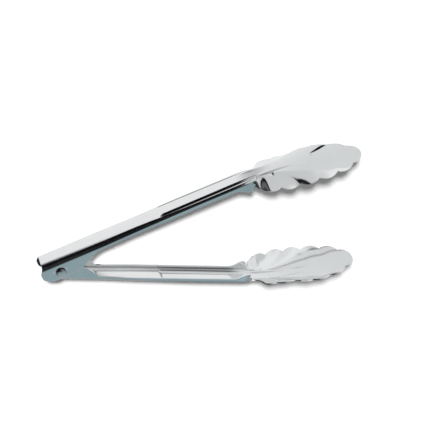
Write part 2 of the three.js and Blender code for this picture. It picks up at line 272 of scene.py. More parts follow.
class Nodes:
    """A short way to place and join nodes in one node tree."""

    MIX_BEFORE, MIX_AFTER, MIX_RESULT = 6, 7, 2

    def __init__(self, tree: bpy.types.NodeTree) -> None:
        """Take the node tree to work in."""
        self.tree = tree

    def add(self, kind: str, values: dict | None = None, **settings: object) -> bpy.types.Node:
        """Add a node.

        Args:
            kind: The node's type.
            values: Socket values, or sockets to join, by input name or number.
            settings: Values of the node's own properties.

        Returns:
            The new node.
        """
        node = self.tree.nodes.new(kind)
        for name, value in settings.items():
            setattr(node, name, value)
        self.give(node, values or {})
        return node

    def give(self, node: bpy.types.Node, values: dict) -> None:
        """Set or join a node's inputs.

        Args:
            node: The node.
            values: Socket values, or sockets to join, by input name or number.
        """
        for name, value in values.items():
            if isinstance(value, Socket):
                self.tree.links.new(value, node.inputs[name])
            else:
                node.inputs[name].default_value = value

    def math(self, operation: str, *values: float | Socket) -> Socket:
        """Add a Math node and return its output."""
        return self.add("ShaderNodeMath", dict(enumerate(values)), operation=operation).outputs[0]

    def step(self, value: Socket, start: float, end: float, top: float = 1.0, kind: str = "SMOOTHSTEP") -> Socket:
        """Add a step that is 0 up to the start and the top value from the end on, and return its output."""
        values = {"Value": value, "From Min": start, "From Max": end, "To Max": top}
        return self.add("ShaderNodeMapRange", values, interpolation_type=kind).outputs[0]

    def blend(
        self, share: float | Socket, before: Colour | Socket, after: Colour | Socket, kind: str = "MIX"
    ) -> Socket:
        """Add a mix of two colours.

        Args:
            share: How much of the second colour is in the mix.
            before: The first colour.
            after: The second colour.
            kind: The Mix node's blend type.

        Returns:
            The mixed colour's output.
        """
        colours = [colour if isinstance(colour, Socket) else (*colour, 1.0) for colour in (before, after)]
        values = {0: share, self.MIX_BEFORE: colours[0], self.MIX_AFTER: colours[1]}
        return self.add("ShaderNodeMix", values, data_type="RGBA", blend_type=kind).outputs[self.MIX_RESULT]

    def ramp(self, place: Socket, stops: list[tuple[float, Colour]]) -> Socket:
        """Add a colour ramp.

        Args:
            place: Where on the ramp to look, from 0 to 1.
            stops: Its places and colours, in order.

        Returns:
            The ramp's colour.
        """
        made = self.add("ShaderNodeValToRGB", {0: place})
        elements = made.color_ramp.elements
        elements.remove(elements[-1])
        elements[0].position = stops[0][0]
        for position, _ in stops[1:]:
            elements.new(position)
        for element, (_, colour) in zip(elements, stops):
            element.color = (*colour, 1.0)
        return made.outputs[0]


class PolishMarks:
    """Shader node group: fine polishing lines along a piece, with soft smudges between them."""

    NAME = "polish_marks"
    LINES = {"Detail": 3.0, "Roughness": 0.6}
    SMUDGES = {"Detail": 4.0, "Roughness": 0.55}
    NOISE_MIDDLE = 0.5
    LINE_STRETCH = 0.02
    LINE_SHARE = 0.8
    LINE_HEIGHT = 0.35
    TINT_SPREAD = 0.12
    SMOOTHEST = 0.02

    @classmethod
    def group(cls) -> bpy.types.NodeTree:
        """Build the group on first use.

        Returns:
            The node group.
        """
        known = bpy.data.node_groups.get(cls.NAME)
        if known is not None:
            return known
        tree = bpy.data.node_groups.new(cls.NAME, "ShaderNodeTree")
        face = tree.interface
        face.new_socket("Vector", in_out="INPUT", socket_type="NodeSocketVector")
        for name in ("Roughness", "Roughness spread", "Lines", "Smudges"):
            face.new_socket(name, in_out="INPUT", socket_type="NodeSocketFloat")
        for name in ("Roughness", "Height", "Tint"):
            face.new_socket(name, in_out="OUTPUT", socket_type="NodeSocketFloat")
        nodes = Nodes(tree)
        given = nodes.add("NodeGroupInput").outputs
        drawn = nodes.add("ShaderNodeMapping", {"Vector": given["Vector"], "Scale": (cls.LINE_STRETCH, 1.0, 1.0)})
        at_lines = {"Vector": drawn.outputs[0], "Scale": given["Lines"], **cls.LINES}
        at_smudges = {"Vector": given["Vector"], "Scale": given["Smudges"], **cls.SMUDGES}
        lines, smudges = (nodes.add("ShaderNodeTexNoise", at).outputs[0] for at in (at_lines, at_smudges))
        soft = nodes.math("SUBTRACT", smudges, cls.NOISE_MIDDLE)
        fine = nodes.math("SUBTRACT", lines, cls.NOISE_MIDDLE)
        both = nodes.math("MULTIPLY_ADD", fine, cls.LINE_SHARE, soft)
        rough = nodes.math("MULTIPLY_ADD", both, given["Roughness spread"], given["Roughness"])
        nodes.add("NodeGroupOutput", {
            "Roughness": nodes.math("MAXIMUM", rough, cls.SMOOTHEST),
            "Height": nodes.math("MULTIPLY_ADD", lines, cls.LINE_HEIGHT, smudges),
            "Tint": nodes.math("MULTIPLY_ADD", soft, cls.TINT_SPREAD, 1.0),
        })
        return tree


@dataclass(frozen=True)
class Steel:
    """A polished or drawn steel finish."""

    name: str
    colour: Colour
    roughness: float
    spread: float
    lines: float
    smudges: float
    waviness: float
    grain_turn: float = 0.0

    def material(self) -> bpy.types.Material:
        """Make the finish as a procedural material.

        Returns:
            The new material.
        """
        made = bpy.data.materials.new(self.name)
        made.use_nodes = True
        nodes = Nodes(made.node_tree)
        place = nodes.add("ShaderNodeTexCoord")
        turned = nodes.add(
            "ShaderNodeMapping", {"Vector": place.outputs["Object"], "Rotation": (0.0, 0.0, self.grain_turn)}
        )
        marks = nodes.add("ShaderNodeGroup", {
            "Vector": turned.outputs[0], "Roughness": self.roughness, "Roughness spread": self.spread,
            "Lines": self.lines, "Smudges": self.smudges,
        }, node_tree=PolishMarks.group()).outputs
        # Painted shade from the point attribute darkens the base colour.
        painted_shade = nodes.add("ShaderNodeAttribute", attribute_name=PAINTED_SHADE)
        bright = nodes.math("MULTIPLY", marks["Tint"], painted_shade.outputs["Fac"])
        bump = nodes.add("ShaderNodeBump", {"Strength": 1.0, "Distance": self.waviness, "Height": marks["Height"]})
        nodes.give(made.node_tree.nodes["Principled BSDF"], {
            "Base Color": nodes.blend(1.0, self.colour, bright, "MULTIPLY"),
            "Metallic": 1.0, "Roughness": marks["Roughness"], "Normal": bump.outputs[0],
        })
        return made


@dataclass(frozen=True)
class ArmSizes:
    """Sizes that both arms share, in millimetres and radians."""

    sheet: float = 0.9
    running_gap: float = 0.3
    pin_gap: float = 0.1
    stop_gap: float = 0.2
    opening: float = 33.3 * DEGREE
    arm_width: float = 14.6
    hinge_width: float = 15.8
    flange_depth: float = 4.2
    hinge_bend: float = 3
    arm_bend: float = 1.7
    pivot_to_back: float = 9.4
    hinge_width_ends: float = 30
    arm_width_starts: float = 62
    hinge_bend_ends: float = 45
    arm_bend_starts: float = 108
    ear_stops_bulging: float = 4
    ear_drop: float = 6.4
    ear_corner_drop: float = 0.4
    ear_corner_length: float = 6.8
    ear_flat_ahead: float = 6
    bead_starts: float = 79
    bead_run_in: float = 3
    bead_height: float = 0.9
    bead_top: float = 3.3
    bead_start_top: float = 3.7
    bead_end_top: float = 2
    bead_wall: float = 1.1
    bead_fades: float = 168
    bead_ends: float = 202
    lobe_starts: float = 134
    lobe_full: float = 145.2
    lobe_ends: float = 147.2
    lobe_depth: float = 9.1
    lobe_corner: float = 0.9
    lobe_lean: float = 86 * DEGREE
    notch_width: float = 1.6
    notch_reach: float = 11
    notch_corner: float = 0.6
    notch_lean: float = 0.2
    notch_sag: float = 0.15
    neck_run: float = 4.5
    neck_soft_run: float = 13
    neck_flat: float = 2.6
    neck_lean: float = 43.5 * DEGREE
    neck_opens: float = 6.7
    wall_lean: float = 27.6 * DEGREE
    oval_centre: float = 183.2
    oval_half_length: float = 46
    oval_half_width: float = 17.6
    shoulder_angle: float = 131.6 * DEGREE
    last_cusp_angle: float = 31.2 * DEGREE
    lobes_each_side: int = 5
    scallop_rise: float = 2.85
    tip_rise: float = 8.28
    shoulder_reach: float = 12.5
    shoulder_crown: float = 21.5
    shoulder_start_share: float = 0.22
    shoulder_end_share: float = 0.58
    bowl_radius: float = 32
    bowl_full: float = 204.5
    head_bend_starts: float = 137
    head_bend_radius: float = 192
    flute_depth: float = 0.15
    tip_flute_depth: float = 0.75
    flute_start_share: float = 0.42
    bulge_from_share: float = 0.35
    bulge_to_share: float = 0.8
    fan_starts: float = 203
    fan_lag: float = 7
    shank_radius: float = 2.2
    rim_rounding: float = 0.16
    foot_shade: float = 0.92
    foot_shade_width: float = 0.62
    foot_shade_shift: float = -0.15
    ear_shade: float = 0.93
    ear_shade_fades: float = 20
    ear_shade_ends: float = 24.5
    fold_shade: float = 0.5
    fold_fades: float = 0.75
    back_shade: float = 0.0
    back_shade_depth: float = 2.6
    flange_shade: float = 0.0
    facing: float = 0.2
    facing_fully: float = 0.7

    @property
    def half_sheet(self) -> float:
        """Half of the sheet's thickness."""
        return self.sheet / 2

    @property
    def inner_width(self) -> float:
        """Width of the inner arm at the hinge."""
        return self.hinge_width - 2 * (self.sheet + self.running_gap)


@dataclass
class StampedArm:
    """One arm, pressed from a flat blank: channel, ears, bead, neck and scalloped head."""

    side: Side
    node: str
    body: str
    finish: Steel
    width_at_hinge: float
    web_behind: float
    ear_behind: float
    ear_front: tuple[Pair, ...]
    sizes: ArmSizes = ArmSizes()
    curve_steps: int = 16
    corner_steps: int = 6
    scallop_steps: int = 16
    oval_steps: int = 201
    line_steps: tuple[int, ...] = (5, 6, 2, 8, 9)
    row_length: float = 1.2
    fine_row_length: float = 0.3
    probe: float = 0.01
    bore_sides: int = 64

    def section(self, station: Amount) -> tuple[Amount, Amount, Amount]:
        """Work out the channel's section.

        Args:
            station: Distance along the blank.

        Returns:
            Its flat half-width, bend radius and bend angle.
        """
        s = self.sizes
        slim = ease(s.hinge_width_ends, s.arm_width_starts, station)
        outer_half = mix(self.width_at_hinge, s.arm_width, slim) / 2
        outer_radius = mix(s.hinge_bend, s.arm_bend, ease(s.hinge_bend_ends, s.arm_bend_starts, station))
        folded = s.lobe_ends + s.neck_run
        fold = ease(s.lobe_ends, folded, station)
        bowl = ease(folded, s.bowl_full, station)
        narrowed = ease(s.lobe_ends - s.neck_run, s.lobe_ends + s.neck_soft_run, station)
        flat = mix(outer_half - outer_radius, s.neck_flat, narrowed) * (1 - bowl)
        radius = mix(outer_radius - s.half_sheet, s.bowl_radius, bowl)
        lobe_wall = mix(QUARTER_TURN, s.lobe_lean, ease(s.lobe_starts, s.lobe_ends, station))
        head_wall = mix(s.neck_lean, s.wall_lean, ease(folded, folded + s.neck_opens, station))
        angle = mix(mix(lobe_wall, head_wall, fold), QUARTER_TURN, bowl ** 2)
        return flat, radius, angle

    def reach(self, station: float, depth: float) -> float:
        """Return how far the blank reaches from its centre line for a flange of the given depth."""
        flat, radius, _ = self.section(station)
        return float(flat + radius * QUARTER_TURN + depth - self.sizes.half_sheet - radius)

    def bead_half(self, station: Amount) -> Amount:
        """Work out how wide the bead is.

        Args:
            station: Distance along the blank.

        Returns:
            Half of the bead's top.
        """
        s = self.sizes
        early = mix(s.bead_start_top, s.bead_top, ease(s.bead_starts, s.lobe_ends, station))
        return mix(early, s.bead_end_top, ease(s.lobe_ends, s.bead_ends, station))

    def formed(self, station: Amount, across: Amount) -> np.ndarray:
        """Return points of the middle of the pressed sheet.

        Args:
            station: Distances along the blank.
            across: Distances from its centre line.

        Returns:
            An array of points, x along the arm, y to its back and z across.
        """
        s = self.sizes
        flat, radius, angle = self.section(station)
        out = np.abs(across)
        turned = np.minimum(np.maximum(out - flat, 0) / radius, angle)
        straight = np.maximum(out - flat - radius * angle, 0)
        wide = np.minimum(out, flat) + radius * np.sin(turned) + straight * np.cos(angle)
        along = ease(s.bead_starts, s.bead_starts + s.bead_run_in, station)
        along = along * (1 - ease(s.bead_fades, s.bead_ends, station))
        top = self.bead_half(station)
        rise = s.bead_height * along * (1 - ease(top, top + s.bead_wall, out))
        inward = radius * (1 - np.cos(turned)) + straight * np.sin(angle) - rise
        bent = np.maximum(station - s.head_bend_starts, 0) / s.head_bend_radius
        x = np.minimum(station, s.head_bend_starts) + (s.head_bend_radius - inward) * np.sin(bent)
        y = s.pivot_to_back - s.half_sheet - s.head_bend_radius * (1 - np.cos(bent)) - inward * np.cos(bent)
        return np.stack([x, y, np.sign(across) * wide], axis=-1)

    def inward_normal(self, station: Amount, across: Amount) -> np.ndarray:
        """Work out where the inside of the pressed sheet faces.

        Args:
            station: Distances along the blank.
            across: Distances from its centre line.

        Returns:
            Unit normals that point into the channel.
        """
        step = self.sizes.sheet * self.probe
        along = self.formed(station + step, across) - self.formed(station - step, across)
        sideways = self.formed(station, across + step) - self.formed(station, across - step)
        normal = np.cross(along, sideways)
        return normal / np.linalg.norm(normal, axis=-1, keepdims=True)

    def ear_back(self, ear_depth: float) -> list[Pair]:
        """Lay out the ear's back edge.

        Args:
            ear_depth: How far the ear reaches from the arm's back.

        Returns:
            Control points, as stations and depths.
        """
        s = self.sizes
        if self.side is Side.OUTER:
            return [
                (-self.ear_behind, s.pivot_to_back - s.ear_corner_drop),
                (-self.ear_behind, mix(s.pivot_to_back, ear_depth, 1 / 2)),
                (-self.ear_behind + s.ear_corner_length, ear_depth),
            ]
        inner_bend = s.hinge_bend - s.sheet
        into_bend = max(s.inner_width / 2 - (s.hinge_width / 2 - s.hinge_bend), 0)
        room = s.pivot_to_back - s.hinge_bend + math.sqrt(inner_bend ** 2 - into_bend ** 2) - s.stop_gap
        stop_depth = s.pivot_to_back + (room - self.ear_behind * math.sin(s.opening)) / math.cos(s.opening)
        stop_end = (s.ear_drop * math.cos(s.opening) - room) / math.sin(s.opening)
        return [
            (-self.ear_behind, stop_depth),
            (stop_end, ear_depth),
            (mix(stop_end, s.ear_flat_ahead, 1 / 2), ear_depth),
        ]

    def cusps(self) -> np.ndarray:
        """Space the points between the scallops evenly round the blank's oval.

        Returns:
            Their stations and reaches.
        """
        s = self.sizes
        centre, size = np.array([s.oval_centre, 0]), np.array([s.oval_half_length, s.oval_half_width])
        angles = np.linspace(s.shoulder_angle, s.last_cusp_angle, self.oval_steps)
        points = centre + size * np.stack([np.cos(angles), np.sin(angles)], axis=-1)
        run = np.concatenate([[0], np.cumsum(np.linalg.norm(np.diff(points, axis=0), axis=1))])
        chosen = np.interp(np.linspace(0, run[-1], s.lobes_each_side + 1), run, angles)
        return centre + size * np.stack([np.cos(chosen), np.sin(chosen)], axis=-1)

    def outline(self) -> np.ndarray:
        """Draw the edge of the blank's half, from the ear to the tip.

        Returns:
            Rows of station, reach and place in the scallop.
        """
        s = self.sizes
        ear_depth = s.pivot_to_back + s.ear_drop
        rows: list[Triple] = []

        def by_depth(points: np.ndarray) -> None:
            """Add rows whose edge is at a flange depth."""
            rows.extend((x, self.reach(x, depth), 0.0) for x, depth in points)

        by_depth(bezier(self.ear_back(ear_depth), self.curve_steps))
        by_depth(bezier([(x, min(depth, ear_depth)) for x, depth in self.ear_front], 2 * self.curve_steps))
        marks = [self.ear_front[-1][0], s.bead_starts, s.bead_starts + s.bead_run_in, s.lobe_starts]
        for begin, end in zip(marks, marks[1:]):
            length = self.row_length if end - begin > s.bead_run_in else self.fine_row_length
            places = np.linspace(begin, end, max(2, round((end - begin) / length)) + 1)[1:]
            by_depth(np.array([(x, s.flange_depth) for x in places if x < s.lobe_starts]))
        by_depth(bezier([
            (s.lobe_starts, s.flange_depth),
            (mix(s.lobe_starts, s.lobe_full, 1 / 2), s.flange_depth),
            (mix(s.lobe_starts, s.lobe_full, 2 / 3), s.lobe_depth),
            (s.lobe_full, s.lobe_depth),
        ], 2 * self.curve_steps))
        lobe_reach = self.reach(s.lobe_ends, s.lobe_depth)
        corner = bezier([
            (s.lobe_ends - s.lobe_corner, lobe_reach),
            (s.lobe_ends, lobe_reach),
            (s.lobe_ends, lobe_reach - s.lobe_corner),
        ], self.corner_steps)
        notch_end = (s.lobe_ends + s.notch_width, s.notch_reach)
        notch = bezier([
            (s.lobe_ends, lobe_reach - s.lobe_corner),
            (s.lobe_ends + s.notch_lean, s.notch_reach),
            (s.lobe_ends + s.notch_corner, s.notch_reach - s.notch_sag),
            notch_end,
        ], self.curve_steps)
        rows.extend((x, wide, 0.0) for x, wide in (*corner, *notch[1:-1]))
        cusps = self.cusps()
        first = cusps[1]
        shoulder = bezier([
            notch_end,
            (mix(notch_end[0], first[0], s.shoulder_start_share), s.shoulder_reach),
            (mix(notch_end[0], first[0], s.shoulder_end_share), s.shoulder_crown),
            tuple(first),
        ], 2 * self.curve_steps)
        steps = len(shoulder) - 1
        rows.extend((x, wide, (k / steps) % 1) for k, (x, wide) in enumerate(shoulder))
        for start, end in zip(cusps[1:], cusps[2:]):
            rows.extend(self.scallop(start, end))
        last = cusps[-1]
        tip_steps = 2 * self.curve_steps
        for k in range(1, tip_steps + 1):
            share = k / tip_steps
            angle = QUARTER_TURN * (1 - share)
            rows.append((last[0] + s.tip_rise * math.cos(angle), last[1] * math.sin(angle), share / 2))
        rows[-1] = (rows[-1][0], 0.0, rows[-1][2])
        return np.array(rows)

    def scallop(self, start: np.ndarray, end: np.ndarray) -> list[Triple]:
        """Draw one scallop's arc.

        Args:
            start: Its first point.
            end: Its last point.

        Returns:
            Rows without the first, with the place in the scallop.
        """
        rise = self.sizes.scallop_rise
        chord = end - start
        outwards = np.array([-chord[1], chord[0]]) / np.linalg.norm(chord)
        radius = (chord @ chord / 4 + rise ** 2) / (2 * rise)
        centre = (start + end) / 2 + outwards * (rise - radius)
        begin = math.atan2(*(start - centre)[::-1])
        finish = math.atan2(*(end - centre)[::-1])
        shares = [k / self.scallop_steps for k in range(1, self.scallop_steps + 1)]
        arc = [(share, mix(begin, finish, share)) for share in shares]
        return [
            (centre[0] + radius * math.cos(angle), centre[1] + radius * math.sin(angle), share % 1)
            for share, angle in arc
        ]

    def shares(self, rows: np.ndarray) -> np.ndarray:
        """Place the lines across each row.

        Args:
            rows: The outline's rows.

        Returns:
            Shares of each row's reach, from the centre to the edge.
        """
        s = self.sizes
        flat, radius, angle = self.section(rows[:, 0])
        top = self.bead_half(rows[:, 0])
        base = top + s.bead_wall
        widest = np.maximum(rows[:, 1], base + s.bead_wall)
        bend_from = np.maximum(flat, base + s.bead_wall / 2)
        bend_to = np.minimum(flat + radius * angle, mix(bend_from, widest, 2 / 3))
        keys = [0 * top, top, base, bend_from, bend_to, widest]
        lines = [keys[0]]
        for begin, end, steps in zip(keys, keys[1:], self.line_steps):
            lines += [mix(begin, end, k / steps) for k in range(1, steps + 1)]
        return np.stack(lines, axis=-1) / widest[:, None]

    def middle(self) -> np.ndarray:
        """Press the blank.

        Returns:
            The middle of the sheet as a grid of points, rows along it and lines across it.
        """
        s = self.sizes
        rows = self.outline()
        half = self.shares(rows)
        share = np.concatenate([half[:, :0:-1], half], axis=1)
        sign = np.sign(np.arange(share.shape[1]) - (half.shape[1] - 1))
        place = rows[:, 0][:, None]
        tip = rows[-1, 0]
        lag = s.fan_lag * np.clip((place - s.fan_starts) / (tip - s.fan_starts), 0, 1) ** 2
        bulge = (self.ear_behind - self.web_behind) * np.clip(
            (place + s.ear_stops_bulging) / (s.ear_stops_bulging - self.ear_behind), 0, 1
        )
        on_ear = ease(s.bulge_from_share, s.bulge_to_share, share)
        station = mix(place - lag, place, share) + bulge * (1 - on_ear)
        across = rows[:, 1][:, None] * share * sign
        depth = np.where(place > self.cusps()[-1][0], s.tip_flute_depth, s.flute_depth)
        flute = depth * ease(s.flute_start_share, 1, share)
        flute = flute * (1 - np.cos(FULL_TURN * rows[:, 2]))[:, None] / 2
        return self.formed(station, across) - self.inward_normal(station, across) * flute[..., None]

    def painted_shade(self, points: np.ndarray, normals: np.ndarray) -> np.ndarray:
        """Return the painted shade of each point: darker at the bead's foot, inside the folds and the ears, and on the
        outer faces near the arm's back.

        Args:
            points: The finished arm's points in its own frame.
            normals: Their normals.

        Returns:
            One value for each point, 1 where no shade is painted.
        """
        s = self.sizes
        x, y, z = points.T
        to_side = normals[:, 2] * np.sign(z)
        out = np.abs(z)
        depth = s.pivot_to_back - y
        before_lobe = 1 - ease(s.lobe_starts, s.lobe_ends, x)
        # Painted shade: a dark line along the foot of the bead.
        foot = self.bead_half(x) + s.bead_wall - s.foot_shade_shift
        at_foot = (
            np.exp(-((out - foot) / s.foot_shade_width) ** 2) * (depth < s.flange_depth / 2)
            * ease(s.bead_starts, s.bead_starts + s.bead_run_in, x) * before_lobe
        )
        half = mix(self.width_at_hinge, s.arm_width, ease(s.hinge_width_ends, s.arm_width_starts, x)) / 2
        # Painted shade inside the folds between the web and the flanges.
        in_fold = (
            ease(half - s.arm_bend - s.sheet, half - s.sheet, out)
            * (np.maximum(-to_side, -normals[:, 1]) > s.facing)
            * (1 - ease(s.sheet, s.flange_depth, depth) * s.fold_fades)
            * ease(s.ear_flat_ahead, s.hinge_width_ends, x) * before_lobe
        )
        # Painted shade on the inside faces of the ears.
        in_ears = (-to_side > s.facing_fully) * (1 - ease(s.ear_shade_fades, s.ear_shade_ends, x))
        # Painted shade on the outward faces near the arm's back, darkest at the fold.
        at_back = s.back_shade * (1 - ease(0, s.back_shade_depth, depth))
        at_back = at_back + s.flange_shade * (1 - ease(0, s.flange_depth, depth))
        at_back = at_back * (np.maximum(to_side, normals[:, 1]) > s.facing)
        return (1 - s.foot_shade * at_foot) * (1 - s.fold_shade * in_fold) * (1 - s.ear_shade * in_ears) * (1 - at_back)

    def placing(self) -> Matrix:
        """Place the arm.

        Returns:
            The matrix from the arm's own frame to the row frame.
        """
        turn = Matrix.Rotation(self.side.value * self.sizes.opening / 2, 4, "Z")
        if self.side is Side.INNER:
            turn = turn @ Matrix.Rotation(math.pi, 4, "X")
        return Hinge.packed().place() @ turn

    def build(self) -> Piece:
        """Model the arm: a flat grid is pressed to shape, thickened, bored and deburred.

        Returns:
            The finished mesh object.
        """
        s = self.sizes
        points = self.middle()
        rows, lines = points.shape[:2]
        rest_selection()
        bpy.ops.mesh.primitive_grid_add(x_subdivisions=lines - 1, y_subdivisions=rows - 1, size=2)
        arm = bpy.context.object
        arm.name = f"{self.node}_pressed"
        if len(arm.data.vertices) != rows * lines:
            raise ValueError(f"the blank has {len(arm.data.vertices)} points, not {rows * lines}")
        arm.data.vertices.foreach_set("co", points.astype(np.float32).ravel())
        arm.data.update()
        edit_all(arm)
        apply_modifier(
            arm, "SOLIDIFY", thickness=s.sheet, offset=0.0, use_even_offset=False, use_quality_normals=True
        )
        edit_all(arm)
        rest_selection()
        bpy.ops.mesh.primitive_cylinder_add(
            vertices=self.bore_sides, radius=s.shank_radius + s.pin_gap, depth=2 * s.hinge_width
        )
        drill = bpy.context.object
        apply_modifier(arm, "BOOLEAN", object=drill, operation="DIFFERENCE", solver="EXACT")
        bpy.data.objects.remove(drill)
        apply_modifier(
            arm, "BEVEL", width=s.rim_rounding, segments=ROUNDING_STEPS, limit_method="ANGLE", angle_limit=ROUND_ABOVE,
            use_clamp_overlap=True, harden_normals=False,
        )
        write_painted_shade(arm, self.painted_shade(*points_and_normals(arm)))
        finish_mesh(arm, self.placing())
        return arm

    def dress(self, arm: Piece) -> None:
        """Give the arm its steel and its body.

        Args:
            arm: The arm's mesh object.
        """
        wear(arm, self.finish)
        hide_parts(self.node)
        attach(arm, self.body)


@dataclass
class Rivet:
    """The rivet through the four ears: shank, domed head and domed tail."""

    finish: Steel
    sizes: ArmSizes = ArmSizes()
    head_radius: float = 3.65
    rim: float = 0.45
    dome: float = 1.3
    tail_radius: float = 3.4
    tail_dome: float = 1.05
    dome_steps: int = 12
    sides: int = 72
    edge_rounding: float = 0.1
    rim_shade: float = 0.88
    rim_shade_from: float = 2.4
    facing: float = 0.9

    def cap(self, rivet: Piece, sign: int, radius: float, dome: float) -> None:
        """Extrude one end face into a rim and a dome.

        Args:
            rivet: The mesh object, in edit mode.
            sign: Which end, along the axis.
            radius: Radius of the rim.
            dome: Height of the dome.
        """
        seat_at = self.sizes.hinge_width / 2 + self.sizes.running_gap
        bpy.ops.mesh.select_all(action="DESELECT")
        enter("OBJECT")
        for face in rivet.data.polygons:
            face.select = face.normal.z * sign > self.facing and abs(face.center.z - sign * seat_at) < self.rim
        enter("EDIT")
        extrude()
        now = self.sizes.shank_radius
        bpy.ops.transform.resize(value=(radius / now, radius / now, 1))
        extrude((0, 0, sign * self.rim))
        profile = bezier([(radius, 0), (radius, dome), (0, dome)], self.dome_steps)
        for (wide, low), (next_wide, high) in zip(profile, profile[1:]):
            extrude((0, 0, sign * (high - low)))
            if next_wide > 0:
                bpy.ops.transform.resize(value=(next_wide / wide, next_wide / wide, 1))
            else:
                bpy.ops.mesh.merge(type="CENTER")

    def build(self) -> Piece:
        """Model the rivet from a cylinder whose ends are extruded.

        Returns:
            The finished mesh object.
        """
        s = self.sizes
        rest_selection()
        bpy.ops.mesh.primitive_cylinder_add(
            vertices=self.sides, radius=s.shank_radius, depth=s.hinge_width + 2 * s.running_gap
        )
        rivet = bpy.context.object
        rivet.name = "rivet_formed"
        enter("EDIT")
        self.cap(rivet, 1, self.head_radius, self.dome)
        self.cap(rivet, -1, self.tail_radius, self.tail_dome)
        enter("OBJECT")
        apply_modifier(
            rivet, "BEVEL", width=self.edge_rounding, segments=ROUNDING_STEPS, limit_method="ANGLE",
            angle_limit=ROUND_ABOVE,
        )
        points, _ = points_and_normals(rivet)
        # Painted shade: the rims of the head and the tail are darkened.
        write_painted_shade(rivet, 1 - self.rim_shade * ease(self.rim_shade_from, self.head_radius, np.hypot(*points.T[:2])))
        finish_mesh(rivet, Hinge.packed().place())
        return rivet

    def dress(self, rivet: Piece) -> None:
        """Give the rivet its steel and its body.

        Args:
            rivet: The rivet's mesh object.
        """
        wear(rivet, self.finish)
        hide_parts("hinge_rivet")
        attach(rivet, "outer")


@dataclass
class Spring:
    """The coil spring round the rivet, with a straight leg on the web of each arm."""

    finish: Steel
    sizes: ArmSizes = ArmSizes()
    wire: float = 1.4
    full_turns: int = 3
    coil_to_shank: float = 1.1
    leg: float = 21
    steps_a_turn: int = 64
    wire_sides: int = 20
    end_inset: float = 1 / 10
    end_crown: float = 1 / 12

    @property
    def radius(self) -> float:
        """Radius of the coil's middle line."""
        return self.sizes.shank_radius + self.coil_to_shank + self.wire / 2

    def build(self) -> Piece:
        """Model the spring: the wire's round is screwed into a coil, and its ends are extruded into legs.

        Returns:
            The finished mesh object.
        """
        s = self.sizes
        web_line = s.pivot_to_back - s.sheet - s.running_gap - self.wire / 2
        start = s.opening / 2 + math.asin(web_line / math.hypot(self.leg, self.radius))
        start += math.atan2(self.leg, self.radius)
        end = FULL_TURN * (self.full_turns + 1) - start
        half_height = s.inner_width / 2 - s.hinge_bend - self.wire / 4 + s.running_gap
        slope = math.atan2(2 * half_height, (end - start) * self.radius)
        rest_selection()
        bpy.ops.mesh.primitive_circle_add(vertices=self.wire_sides, radius=self.wire / 2)
        spring = bpy.context.object
        spring.name = "spring_coil"
        tilt = Matrix.Rotation(slope, 4, "X") @ Matrix.Rotation(-QUARTER_TURN, 4, "X")
        spring.data.transform(Matrix.Translation((self.radius, 0, 0)) @ tilt)
        steps = round((end - start) / FULL_TURN * self.steps_a_turn)
        apply_modifier(
            spring, "SCREW", angle=end - start, screw_offset=2 * half_height, steps=steps, render_steps=steps,
            axis="Z", use_merge_vertices=False,
        )
        spring.data.transform(Matrix.Translation((0, 0, -half_height)) @ Matrix.Rotation(start, 4, "Z"))
        self.add_leg(spring, start, -1, -half_height)
        self.add_leg(spring, end, 1, half_height)
        # No shade is painted on the spring.
        write_painted_shade(spring, np.ones(len(spring.data.vertices)))
        finish_mesh(spring, Hinge.packed().place())
        return spring

    def add_leg(self, spring: Piece, angle: float, sign: int, height: float) -> None:
        """Extrude the wire's open end at an angle of the coil into a closed straight leg.

        Args:
            spring: The coil's mesh object.
            angle: Angle of the coil's end.
            sign: 1 to go on round the coil, -1 to go back.
            height: Height of the coil's end.
        """
        centre = Vector((self.radius * math.cos(angle), self.radius * math.sin(angle), height))
        along = Vector((-math.sin(angle), math.cos(angle), 0)) * sign
        pick(spring)
        enter("EDIT")
        bpy.ops.mesh.select_mode(type="EDGE")
        bpy.ops.mesh.select_all(action="DESELECT")
        bpy.ops.mesh.select_non_manifold(extend=False, use_boundary=True)
        enter("OBJECT")
        mesh = spring.data
        for edge in mesh.edges:
            middle = (mesh.vertices[edge.vertices[0]].co + mesh.vertices[edge.vertices[1]].co) / 2
            edge.select = edge.select and (middle - centre).length < self.wire
        enter("EDIT")
        extrude(along * self.leg)
        bpy.ops.mesh.edge_face_add()
        bpy.ops.mesh.inset(thickness=self.wire * self.end_inset, depth=0)
        bpy.ops.transform.translate(value=along * (self.wire * self.end_crown))
        enter("OBJECT")

    def dress(self, spring: Piece) -> None:
        """Give the spring its wire finish and hide the imported spring.

        Args:
            spring: The spring's mesh object.
        """
        wear(spring, self.finish)
        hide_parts("torsion_spring")
        hinge = Hinge.packed()
        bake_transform(spring)


@dataclass(frozen=True)
class PhotoCamera:
    """The photograph's camera, fitted in the tongs' own frame in millimetres."""

    right: Triple = (0.9594842, 0.01043373, 0.2815692)
    up: Triple = (0.18926454, 0.71643399, -0.67149182)
    back: Triple = (-0.20873192, 0.69757686, 0.68543236)
    shift: Triple = (-108.76355331, -30.6040991, -1500.51647623)
    focal_pixels: float = 2131.41545
    height_pixels: float = 442
    sensor: float = 36
    clip: Pair = (0.05, 50)

    def build(self) -> None:
        """Set the scene's camera to the photograph's viewpoint."""
        turn = Matrix((self.right, self.up, self.back)).transposed()
        own = turn.to_4x4()
        own.translation = -(turn @ Vector(self.shift))
        world = Hinge.packed().place() @ own
        lens = bpy.data.cameras.new("photo_camera")
        lens.sensor_fit = "VERTICAL"
        lens.sensor_height = self.sensor
        lens.lens = self.sensor * self.focal_pixels / self.height_pixels
        lens.clip_start, lens.clip_end = self.clip
        place, turned, _ = world.decompose()
        camera = hang("photo_camera", lens, turned)
        camera.location = place
        bpy.context.scene.camera = camera


@dataclass(frozen=True)
class Patch:
    """An oval painted dark reflection on the table that only the metal sees, in metres and radians."""

    centre: Pair
    half_length: float
    half_width: float
    turn: float = 0.0
    edge: float = 0.7
    strength: float = 1.0
    rim: float = 1.1


